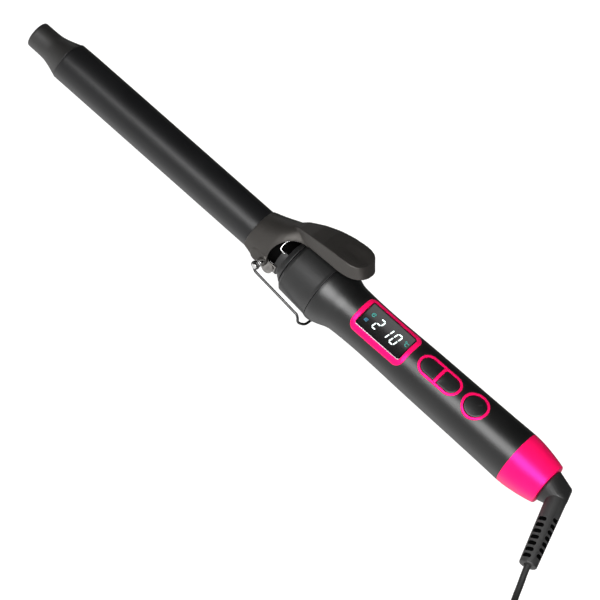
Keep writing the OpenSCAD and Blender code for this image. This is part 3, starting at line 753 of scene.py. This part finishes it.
def face_loop(size, inset=0.0, side_steps=24, corner_steps=10):
    """Rounded rectangle (start, end, half width, corner, middle) on the face, made smaller by inset."""
    x0, x1, half, corner, across = size
    x0, x1, half = x0 + inset, x1 - inset, half - inset
    corner = max(corner - inset, 0.3)
    low, high = across + corner - half, across + half - corner
    centres = [(x1 - corner, high), (x0 + corner, high), (x0 + corner, low), (x1 - corner, low)]
    loop = []
    for i, centre in enumerate(centres):
        for k in range(corner_steps):
            loop.append(on_circle(centre, corner, radians(90 * i + 90 * k / corner_steps)))
        a = radians(90 * (i + 1))
        arc_end = on_circle(centre, corner, a)
        next_start = on_circle(centres[(i + 1) % 4], corner, a)
        if (next_start - arc_end).length > 0.01:
            loop += [arc_end.lerp(next_start, k / side_steps) for k in range(side_steps)]
    return loop


def face_band(size, section):
    """Closed band that follows the handle's surface; section holds (inset, lift) pairs."""
    loops = []
    for inset, lift in section:
        loops.append([Vector((p.x, p.y, face_height(p.x, p.y, lift))) for p in face_loop(size, inset)])
    return rings(loops, closed=True)


def band_section(width, proud, soft):
    corners = [(0, -SLEEVE_WALL, 0), (0, proud, soft), (width, proud, soft), (width, -SLEEVE_WALL, 0)]
    return [(p.x, p.y) for p in rounded(corners, 4)]


def collar():
    bush = rounded([(188, 8, 0), (188, BARREL_IN - 0.02, 0), (BARREL_END, BARREL_IN - 0.02, 0),
                    (BARREL_END, GROOVE_R, 0), (NECK_X, GROOVE_R, 0.2), (NECK_X, NECK_R, 0.25),
                    (COLLAR_X, NECK_R, 0), (COLLAR_X, BUSH_R, 0.3), (BUSH_END, BUSH_R, 0), (BUSH_END, 8, 0)])
    piece = new_object("neck_bush_piece", lathe(bush), WAND)
    cut(piece, block((BARREL_END + 0.1, -20, 8.3), (210.7, 20, 20)), WAND)
    place_piece(piece, collar_plastic)
    shaded(piece, WAND, lambda p: BARREL_END < p.x < NECK_X + 0.02)
    ring_in = NECK_R + 0.03
    ring = rounded([(210.8, ring_in, 0), (210.8, 12.95, 0.1), (211.2, 13.4, 0.3), (213.9, 15.4, 0.35),
                    (214.4, 15.4, 0.15), (214.4, ring_in, 0)])
    build("neck_ring_piece", lathe(ring), collar_plastic)
    start, end, shell_in = COLLAR_X + 0.1, BUSH_END + 0.05, BUSH_R + 0.04
    shell = rounded([(start, shell_in, 0), (start, 16.5, 0.15), (217.2, 18.4, 0.9), (237.6, 19.9, 0.6),
                     (239.25, 20.4, 0.15), (239.3, SPIGOT_R, 0), (245.5, SPIGOT_R, 0), (245.5, 13.2, 0),
                     (end, 13.2, 0), (end, shell_in, 0)])
    build("heat_collar_piece", lathe(shell), collar_plastic)


def handle():
    start_r = HANDLE_LINE[0].y
    outline = [Vector((p.x, p.y)) for p in HANDLE_LINE]
    outline[0] = Vector((SLEEVE_X + 0.35, start_r))
    outline[-1] = Vector((CAP_X - 0.1, CAP_R))
    outline += [Vector((CAP_X, CAP_R - 0.1)), Vector((CAP_X, 15.4)), Vector((384, 15.4))]
    inner_x = (383.9, 373, 345, 316, 300, 280, 265, 259.2, 253.2, 247.8, 246.1)
    outline += [Vector((x, handle_radius(x) - SLEEVE_WALL)) for x in inner_x]
    outline += [Vector((246, SPIGOT_R + 0.05)), Vector((SLEEVE_X, SPIGOT_R + 0.05)),
                Vector((SLEEVE_X, start_r - 0.45)), Vector((SLEEVE_X + 0.1, start_r - 0.12))]
    piece = new_object("handle_sleeve_piece", lathe(outline, 200), WAND)
    windows = [prism(face_loop(size, -0.05), 5, 30) for size in (BEZEL, OBLONG, POWER_RING)]
    cut(piece, joined(*windows), FACE)
    place_piece(piece, handle_plastic, sharp=28)


def end_cap():
    outside = smooth_line([(CAP_X + 0.12, CAP_R), (395, 17.1), (402, 16.2), (409, 14.9), (413, 13.9)], 8)
    outline = [Vector((CAP_X, 17.2))] + [Vector(p) for p in outside]
    outline += rounded([(413.6, 13.75, 0), (CAP_END, 13.3, 0.35), (CAP_END, 8.1, 0.2), (406, 8.1, 0),
                        (406, 12, 0), (400, 12.9, 0), (390, 13.6, 0), (383.9, 13.6, 0), (383.9, 15.35, 0),
                        (CAP_X, 15.35, 0)])
    build("end_cap_piece", lathe(outline, 200), pink_gloss)


# ---- Controls

def lens_loops(*steps):
    """Loops of the lens, each given as (inset, height below its top)."""
    return [[Vector((p.x, p.y, LENS_TOP - low)) for p in face_loop(LENS, inset)] for inset, low in steps]


def display():
    frame_band = face_band(BEZEL, band_section(BEZEL_BAND, 0.6, 0.45))
    build("display_bezel_piece", frame_band, pink_gloss, place=FACE)
    # The lens's side wall carries the painted highlight along the glass's edge.
    edge = lens_loops((0.0, LENS_TOP - LENS_LOW), (0.0, 0.5), (0.08, 0.35))
    build("lens_rim", rings(edge), lens_edge_painted_glint, place=FACE)
    glass = lens_loops((0.04, 0.45), (0.04, 0.34), (0.12, 0.15), (0.3, 0.04), (0.55, 0), (0.9, 0))
    build("display_lens_piece", rings(glass), lens_glass, place=FACE, sharp=15)


# Seven-segment digits: each segment runs between two corners of a cell that is 1 wide and 2 high.
SEGMENTS = {"a": ((0, 2), (1, 2)), "b": ((1, 2), (1, 1)), "c": ((1, 1), (1, 0)), "d": ((0, 0), (1, 0)),
            "e": ((0, 1), (0, 0)), "f": ((0, 2), (0, 1)), "g": ((0, 1), (1, 1))}
SHOWN = [(276.3, "abged"), (283.4, "bc"), (289.8, "abcdef")]
CELL = Vector((3.3, 3.85))
STROKE = 0.82
DIGIT_LOW = -4.1
SLANT = tan(radians(10))
LIT_LOW = LENS_TOP + 0.01
LIT_HIGH = LENS_TOP + 0.03


def leaned(x, w):
    return Vector((x + (w - DIGIT_LOW) * SLANT, w))


def stroke(a, b, width, gap):
    """Flat bar with pointed ends between two places."""
    way = (b - a).normalized()
    across = Vector((-way.y, way.x)) * width / 2
    a, b = a + way * gap, b - way * gap
    tip = way * width / 2
    loop = [a, a + tip - across, b - tip - across, b, b - tip + across, a + tip + across]
    return prism([leaned(p.x, p.y) for p in loop], LIT_LOW, LIT_HIGH)


def arc_strip(centre, r, width, start, end, steps=20):
    """Flat part of a ring."""
    angles = [radians(start + (end - start) * k / steps) for k in range(steps + 1)]
    loop = [on_circle(centre, r + width / 2, a) for a in angles]
    loop += [on_circle(centre, r - width / 2, a) for a in reversed(angles)]
    return prism([leaned(p.x, p.y) for p in loop], LIT_LOW, LIT_HIGH)


def bar(centre, start, end, width=0.5):
    return stroke(centre + Vector(start), centre + Vector(end), width, 0)


def lit_signs():
    """Three digits, a degree sign with a unit, and two plain marks."""
    bars = []
    for x, shown in SHOWN:
        corner = Vector((x + STROKE / 2, DIGIT_LOW))
        for name in shown:
            a, b = (corner + Vector((p[0] * CELL.x, p[1] * CELL.y)) for p in SEGMENTS[name])
            bars.append(stroke(a, b, STROKE, 0.26))
    build("digit_segments", joined(*bars), digit_glow, place=FACE, sharp=20)
    degree = Vector((296.9, 2.9))
    letter = Vector((298.6, 1.6))
    bell = Vector((272.0, 2.3))
    signs = [arc_strip(degree, 0.45, 0.3, 0, 350), arc_strip(letter, 1.1, 0.4, 50, 310),
             arc_strip(bell, 1.1, 0.45, 20, 340), bar(bell, (-1.1, 0.2), (1.1, 0.2), 0.4)]
    build("unit_signs", joined(*signs), icon_glow, place=FACE, sharp=20)
    mark = Vector((271.6, -3.1))
    bars = [bar(mark, (-1.1, y), (1.1, y)) for y in (-0.8, 0, 0.8)]
    bars.append(bar(mark, (-1.0, -1.0), (-1.0, 1.0)))
    build("mode_sign", joined(*bars), blue_glow, place=FACE, sharp=20)


def key_shape(loop, dish):
    """Key cap on the handle's surface: soft edge, then a shallow dish."""
    loop = divided(loop, 0.7)
    middle = sum(loop, Vector((0, 0))) / len(loop)
    rows = [(1.0, None), (1.0, -0.5), (0.985, -0.28), (0.955, -0.15), (0.91, -0.1)]
    rows += [(s, -0.1 - dish * (1 - (s / 0.91) ** 2)) for s in (0.82, 0.7, 0.56, 0.4, 0.24, 0.08)]
    loops = []
    for size, lift in rows:
        around = []
        for p in loop:
            x, w = middle + (p - middle) * size
            around.append(Vector((x, w, BUTTON_LOW if lift is None else face_height(x, w, lift))))
        loops.append(around)
    return rings(loops)


def button(name, loop, stem_x, dish, body):
    stem = prism(disc_outline(stem_x, 0, STEM_R, 32), STEM_LOW, BUTTON_LOW + 0.3)
    build(name + "_piece", joined(key_shape(loop, dish), stem), button_plastic, body, FACE)


def controls():
    proud, soft = 0.45, 0.4
    x0, x1, half = OBLONG[:3]
    middle = (x0 + x1) / 2
    inner = half - RING_BAND
    section = band_section(RING_BAND, proud, soft)
    bar_top, bar_half = proud - 0.08, DIVIDER / 2
    divider = rounded([(-bar_half, -SLEEVE_WALL, 0), (bar_half, -SLEEVE_WALL, 0), (bar_half, bar_top, 0.3),
                       (-bar_half, bar_top, 0.3)], 4)
    reach = inner + 0.4
    loops = []
    for k in range(21):
        w = KEY_Y + reach * (k / 10 - 1)
        loops.append([Vector((middle + p.x, w, face_height(middle + p.x, w, p.y))) for p in divider])
    surround = joined(face_band(OBLONG, section), rings(loops))
    build("button_surround_piece", surround, pink_gloss, place=FACE)
    build("power_ring_piece", face_band(POWER_RING, section), pink_gloss, place=FACE)
    r = inner - KEY_GAP
    low, high = KEY_Y - r, KEY_Y + r
    near, far = x0 + RING_BAND + KEY_GAP, x1 - RING_BAND - KEY_GAP
    left, right = middle - (bar_half + KEY_GAP), middle + (bar_half + KEY_GAP)
    minus = rounded([(near, low, r), (left, low, 0.5), (left, high, 0.5), (near, high, r)], 16)
    plus = rounded([(right, low, 0.5), (far, low, r), (far, high, r), (right, high, 0.5)], 16)
    power = disc_outline(POWER_X, KEY_Y, POWER_R - RING_BAND - KEY_GAP, 96)
    button("minus_button", minus, x0 + RING_BAND + 7, 0.3, "minus")
    button("plus_button", plus, x1 - RING_BAND - 7, 0.3, "plus")
    button("power_button", power, POWER_X, 0.35, "power")


# ---- Clamp

def lever_loop(x, half, shoulder_z, top, power, low):
    """Half-round arch across the wand with straight legs; a lower power is squarer."""
    loop = [Vector((x, -half, low)), Vector((x, -half, (low + shoulder_z) / 2))]
    for k in range(41):
        a = pi * (1 - k / 40)
        y = half * copysign(abs(cos(a)) ** power, cos(a))
        loop.append(Vector((x, y, shoulder_z + (top - shoulder_z) * sin(a) ** power)))
    return loop + [Vector((x, half, (low + shoulder_z) / 2)), Vector((x, half, low))]


# Stations of the saddle, which narrows to the spine: (x, half width, shoulder, top, power, underside).
SADDLE = [(SADDLE_X, 14.2, 0, 14.0, 1.0, -4.5), (190, 14.9, 0, 16.3, 0.98, -5.6),
          (196, 15.3, 0, 19.1, 0.95, -6.9), (200, 15.1, 0.5, 21.3, 0.93, -7.2),
          (203.5, 14.4, 1, 23.4, 0.95, -6), (206, 13.5, 2, 24.9, 1.0, -4.5), (208.5, 12.5, 3, 26.1, 1.05, 0),
          (212, 11, 6, 27.3, 1.1, 2), (218, 9.3, 12, 28.6, 1.15, 8)]
# Thumb pad: its edge seen from above as (x, half width), at its top and at its underside, and both heights.
PAD_TOP = [(203.5, 3.4), (207, 5.5), (213, 7.8), (219, 9.5), (225, 10.8), (231, 11.7), (237, 12.3),
           (243, 12.5), (247, 11.9), (250.3, 10), (252.4, 6.9), (253.2, 3.4), (253.3, 0)]
PAD_LOW = [(203.5, 2.6), (207, 4.0), (213, 6.3), (219, 8.2), (225, 9.6), (231, 10.6), (237, 11.4),
           (243.5, 11.9), (249, 11.5), (253.6, 9.9), (256.6, 7.0), (257.9, 3.6), (258.1, 0)]
PAD_TOP_Z = [(203.5, 23.4), (207, 26.0), (216, 29.8), (225, 32.5), (234, 34.3), (243, 35.3), (250, 35.9),
             (260, 36.6)]
PAD_LOW_Z = [(203.5, 16.5), (207, 18.4), (216, 21.1), (225, 23.1), (234, 24.7), (243, 25.7), (250, 26.9),
             (260, 29.9)]


def height_on(line, x):
    for (x0, z0), (x1, z1) in zip(line, line[1:]):
        if x0 <= x <= x1:
            return z0 + (z1 - z0) * (x - x0) / (x1 - x0)
    return line[-1][1]


def pad_shape(inset=0.0):
    """Skin from the underside's edge up the leaning wall to the top's edge, then in over the top."""
    edges = []
    for outline, line in ((PAD_LOW, PAD_LOW_Z), (PAD_TOP, PAD_TOP_Z)):
        half = smooth_line(outline, 4)
        loop = half + [Vector((p.x, -p.y)) for p in reversed(half[:-1])]
        middle = Vector((235, 0))
        loop = [middle + (p - middle) * (1 - inset / 12) for p in loop]
        edges.append([Vector((p.x, p.y, height_on(line, p.x) - inset)) for p in loop])
    low, top = edges
    if inset:
        return ribbed([[p - Vector((0, 0, 12)) for p in low], low, top])
    return ribbed([low, top])


def clamp_lever():
    """Saddle, ears and hollow thumb pad as one smooth skin, with the dished place for the thumb."""
    past = 25
    saddle = rings([lever_loop(*station) for station in SADDLE])
    ears = []
    for turn in (-1, 1):
        low, high = sorted((turn * EAR_IN, turn * EAR_OUT))
        outline = disc_outline(HINGE.x, HINGE.z, 3.6) + disc_outline(194.5, -3.4, 3.6)
        ears.append(hull([Vector((p.x, y, p.y)) for p in outline for y in (low, high)]))
    piece = new_object("clamp_lever_piece", joined(saddle, pad_shape(), *ears), WAND)
    softened(piece, 0.4, 0)
    bore = lathe([(170, 0.05), (170, SADDLE_IN), (204.5, SADDLE_IN), (204.5, 14.6), (214, 14.6), (214, 0.05)])
    under = block((170, -EAR_IN, -20), (230, EAR_IN, 0))
    arch = crosswise(disc_outline(217, 4.5, 16, 160), -past, past)
    pocket = block((202.6, -4.8, 10), (214.6, 4.8, 21.2))
    behind_ears = crosswise(rounded([(203.75, -20, 0), (240, -20, 0), (240, 2.2, 0), (200.9, 2.2, 0),
                                     (202.4, -1.2, 2)]), -past, past)
    pin_hole = crosswise(disc_outline(HINGE.x, HINGE.z, PIN_R + 0.05, 48), -past, past)
    for tool in (bore, under, arch, pad_shape(2.0), pocket, behind_ears, pin_hole):
        cut(piece, tool, WAND)
    softened(piece, 0.36, 5)
    thumb = Vector((244.5, 0, 35))
    rise = (TURN @ Vector((-0.1, 0, 1))).normalized()
    for vertex in piece.data.vertices:
        local = WAND.inverted() @ vertex.co
        share = ((local.x - thumb.x) / 11.5) ** 2 + (local.y / 8.2) ** 2
        if share < 1 and (vertex.co - WAND @ thumb).dot(rise) > -1.6 * MM:
            vertex.co -= rise * 1.05 * MM * (1 - share) ** 2
    return place_piece(piece, lever_plastic, "clamp", sharp=0)


def hinge():
    """Stepped pins with small domed heads, and the bright sleeves that space the stand from the ears."""
    step = EAR_OUT + 0.2
    head = EYE_Y + WIRE_R + 0.3
    end = EYE_Y - WIRE_R - 0.25
    pin = rounded([(12.65, 0.05, 0), (12.65, PIN_R, 0.2), (step, PIN_R, 0.1), (step, AXLE_R, 0),
                   (head, AXLE_R, 0), (head, 2, 0.3), (head + 0.8, 1.5, 0.4), (head + 0.8, 0.05, 0)])
    hole = AXLE_R + 0.02
    sleeve = rounded([(step, hole, 0), (step, 2.4, 0.3), (end - 1.5, 2.4, 0.1), (end - 1.4, 2.2, 0.1),
                      (end - 1.1, 2.2, 0.1), (end - 1, 2.4, 0.1), (end, 2.4, 0.3), (end, hole, 0)])
    sides = [Matrix.Translation(HINGE) @ Matrix.Rotation(radians(turn), 4, "Z") for turn in (90, -90)]
    for name, outline in (("hinge_pins_piece", pin), ("pin_sleeves_piece", sleeve)):
        build(name, joined(*(moved(lathe(outline, 48), s) for s in sides)), chrome)


def clamp_spring():
    foot = [(208.6, -11.2, 8.8), (206.6, -11.2, 8.8), (205, -10.9, 9.4), (204.6, -9.6, 11.2), (205, -7, 13.4)]
    turns = 4
    span = 360 * turns + 180
    coil = []
    for a in range(-90, 360 * turns + 91, 15):
        coil.append((206.8 + 2.5 * cos(radians(a)), -4 + 8 * (a + 90) / span, 17.4 + 2.5 * sin(radians(a))))
    leg = [(209.5, 4, 20.2), (213, 3, 21.6), (217, 1.5, 23.4), (220, 0, 25)]
    path = smooth_line(foot + coil[:1], 5)[:-1] + [Vector(p) for p in coil[:-1]]
    build("clamp_spring_piece", swept(path + smooth_line(coil[-1:] + leg, 5), 0.5, 12), chrome)


def wire_stand():
    """One bent wire: an eye round each pin, two legs and a crossbar."""
    eye_r = AXLE_R + 0.05 + WIRE_R
    foot = Vector((STAND_X, 12, -STAND_DROP))
    steps = [(-8.8, 4.1, 6), (-6.6, 3.6, 5.4), (-4.9, 3.3, 3.6), (-3.9, 2.9, 1.4), (-3, 2.3, 0.5),
             (-1.8, 1.2, 0.14), (-0.5, -0.5, 0.03), (0, -2.4, 0), (0, -6, 0)]
    leg = [(201.2, EYE_Y, -6.9), (203.4, 21.7, -8), (220, 18.6, -12.4)] + [foot + Vector(p) for p in steps]
    eye = []
    for a in range(-400, -99, 15):
        x, z = on_circle((HINGE.x, HINGE.z), eye_r, radians(a))
        eye.append((x, EYE_Y, z))
    half = smooth_line(eye + leg, 4)
    other = [Vector((p.x, -p.y, p.z)) for p in reversed(half)]
    wire = build("wire_stand_piece", swept(half + other, WIRE_R, 20), wire_chrome, "stand")


# ---- Cord end

def swivel_elbow():
    """Tapered knuckle from the swivel to the strain relief."""
    face = 414.6
    rim = [Vector((face + dx, r * cos(tau * k / 96), r * sin(tau * k / 96)))
           for dx, r in ((0, 10.3), (0.35, 10.7)) for k in range(96)]
    points = rim + ball(RELIEF_TOP - relief_way * 1.5, 6.5)
    for depth in (-4.0, 4.0):
        points += ball((425.1, 0.643 * 5.6 - 0.766 * depth, 0.766 * 5.6 + 0.643 * depth), 2.2, 16)
    piece = new_object("swivel_elbow_piece", hull(points), WAND)
    softened(piece, 0.3, 4)
    place_piece(piece, collar_plastic, "cord_end", sharp=40)
    stem = rounded([(390.2, 0.05, 0), (390.2, 4.4, 0.2), (399, 4.4, 0), (399, 8, 0.2), (416, 8, 0),
                    (416, 0.05, 0)])
    build("swivel_stem", lathe(stem, 64), collar_plastic, "cord_end")


for make in (cool_tip, barrel, clip_plate, collar, handle, end_cap, display, lit_signs, controls, clamp_lever,
             hinge, clamp_spring, wire_stand, swivel_elbow):
    make()

# CAD nodes that stay as they are, with their finish.
CARRIED = {
    "tip_screw": screw_steel, "barrel_plug": aluminium, "heat_spreaders": aluminium,
    "ceramic_heater": ceramic, "thermistor": ceramic, "thermal_fuse": screw_steel,
    "heater_leads": lead_insulation, "hinge_bracket": bracket_steel, "bracket_screws": screw_steel,
    "clip_rivets": screw_steel, "chassis": inner_plastic, "main_board": board, "board_screws": screw_steel,
    "tact_switches": display_black, "display_module": display_black, "contact_block": ceramic,
    "contact_fingers": brass, "swivel_retainer": bracket_steel, "slip_rings": brass,
}
for node_name, finish in CARRIED.items():
    node = frame["nodes"][node_name]
    node.data.materials.clear()
    node.data.materials.append(finish)

# ---- Stage and light

FLOOR_Z = -0.0003


def add_floor():
    reach = 6.0
    mesh = bpy.data.meshes.new("floor")
    corners = [(-reach, -reach), (reach, -reach), (reach, reach), (-reach, reach)]
    mesh.from_pydata([(x, y, FLOOR_Z) for x, y in corners], [], [(0, 1, 2, 3)])
    material = surface("floor_white", grey(0.24), grey(0.26), 0.9, 3, 0.001, patch=300,
                       Specular_IOR_Level=0.0)
    shader = material.node_tree.nodes["Principled BSDF"]
    shader.inputs["Emission Color"].default_value = (1, 1, 1, 1)
    shader.inputs["Emission Strength"].default_value = 0.96
    mesh.materials.append(material)
    floor = added("floor", mesh)
    floor.visible_glossy = False


def add_light(name, place, aim, size, watts, glossy=True):
    """Soft box at a place, turned towards a point; size is (along its X, along its Y) in metres."""
    lamp = bpy.data.lights.new(name, "AREA")
    lamp.shape = "RECTANGLE"
    lamp.size, lamp.size_y = size
    lamp.energy = watts
    holder = added(name, lamp)
    back = (Vector(place) - Vector(aim)).normalized()
    across = (Vector((1, 0, 0)) - back * back.x).normalized()
    turn = Matrix((across, back.cross(across), back)).transposed()
    holder.matrix_world = Matrix.Translation(place) @ turn.to_4x4()
    holder.visible_glossy = glossy
    holder.visible_camera = False


# What the gloss reflects, by the direction's angle: 0 is the front horizon, 90 overhead, -90 straight down.
SURROUNDINGS = [(-180, 0.06), (-150, 0.12), (-124, 0.30), (-100, 0.95), (-75, 1.5), (-45, 1.15), (-10, 0.75),
                (10, 0.32), (25, 0.10), (60, 0.02), (150, 0.02), (180, 0.06)]


def add_world():
    """Pale backdrop for the camera, and soft surroundings for reflections."""
    world = bpy.data.worlds.new("studio")
    world.use_nodes = True
    nodes, links = world.node_tree.nodes, world.node_tree.links

    def math_node(operation, first, second=None):
        node = nodes.new("ShaderNodeMath")
        node.operation = operation
        for socket, value in zip(node.inputs, (first, second)):
            if isinstance(value, (int, float)):
                socket.default_value = value
            elif value:
                links.new(value, socket)
        return node.outputs[0]

    coords = nodes.new("ShaderNodeTexCoord")
    parts = nodes.new("ShaderNodeSeparateXYZ")
    links.new(coords.outputs["Generated"], parts.inputs[0])
    angle = math_node("ARCTAN2", parts.outputs["Z"], math_node("MULTIPLY", parts.outputs["Y"], -1.0))
    share = math_node("ADD", math_node("DIVIDE", angle, tau), 0.5)
    ramp = nodes.new("ShaderNodeValToRGB")
    stops = ramp.color_ramp.elements
    for degrees, level in SURROUNDINGS[1:-1]:
        stops.new(degrees / 360 + 0.5)
    for stop, (degrees, level) in zip(stops, SURROUNDINGS):
        stop.color = (level, level, level, 1)
    links.new(share, ramp.inputs["Fac"])
    rays = nodes.new("ShaderNodeLightPath")
    seen = mixed(world.node_tree, ramp.outputs["Color"], (1, 1, 1), rays.outputs["Is Camera Ray"])
    links.new(seen, nodes["Background"].inputs["Color"])
    bpy.context.scene.world = world


add_floor()
add_world()
add_light("key_barrel", (-0.50, -1.02, 0.86), (-0.50, 0, 0), (0.42, 0.32), 1.45)
add_light("key_handle", (0.45, -1.02, 0.86), (0.45, 0, 0), (1.46, 0.80), 33)
add_light("wash", (0, 0.2, 2.5), (0, 0, 0), (2.5, 2.5), 6.3, glossy=False)
add_light("rim_left", (-1.1, 1.1, 0.32), (-0.03, 0, 0), (0.4, 0.3), 0.55)
add_light("key_end", (1.25, -0.75, 0.62), (0.21, 0, 0.03), (0.5, 0.5), 5)

# A small card that the lens mirrors to the camera.
CARD_AWAY = 1.2
CARD_SHIFT = Vector((0, 0.011, 0))
lens_centre = FACE @ Vector(((LENS[0] + LENS[1]) / 2, 0, LENS_TOP))
glass_normal = (FACE.to_3x3() @ Vector((0, 0, 1))).normalized()
to_camera = (bpy.context.scene.camera.location - lens_centre).normalized()
mirrored = 2 * to_camera.dot(glass_normal) * glass_normal - to_camera
card_place = lens_centre + mirrored * CARD_AWAY + CARD_SHIFT
add_light("lens_card", card_place, lens_centre, (0.075, 0.022), 0.007)
bpy.context.scene.view_settings.view_transform = "Standard"
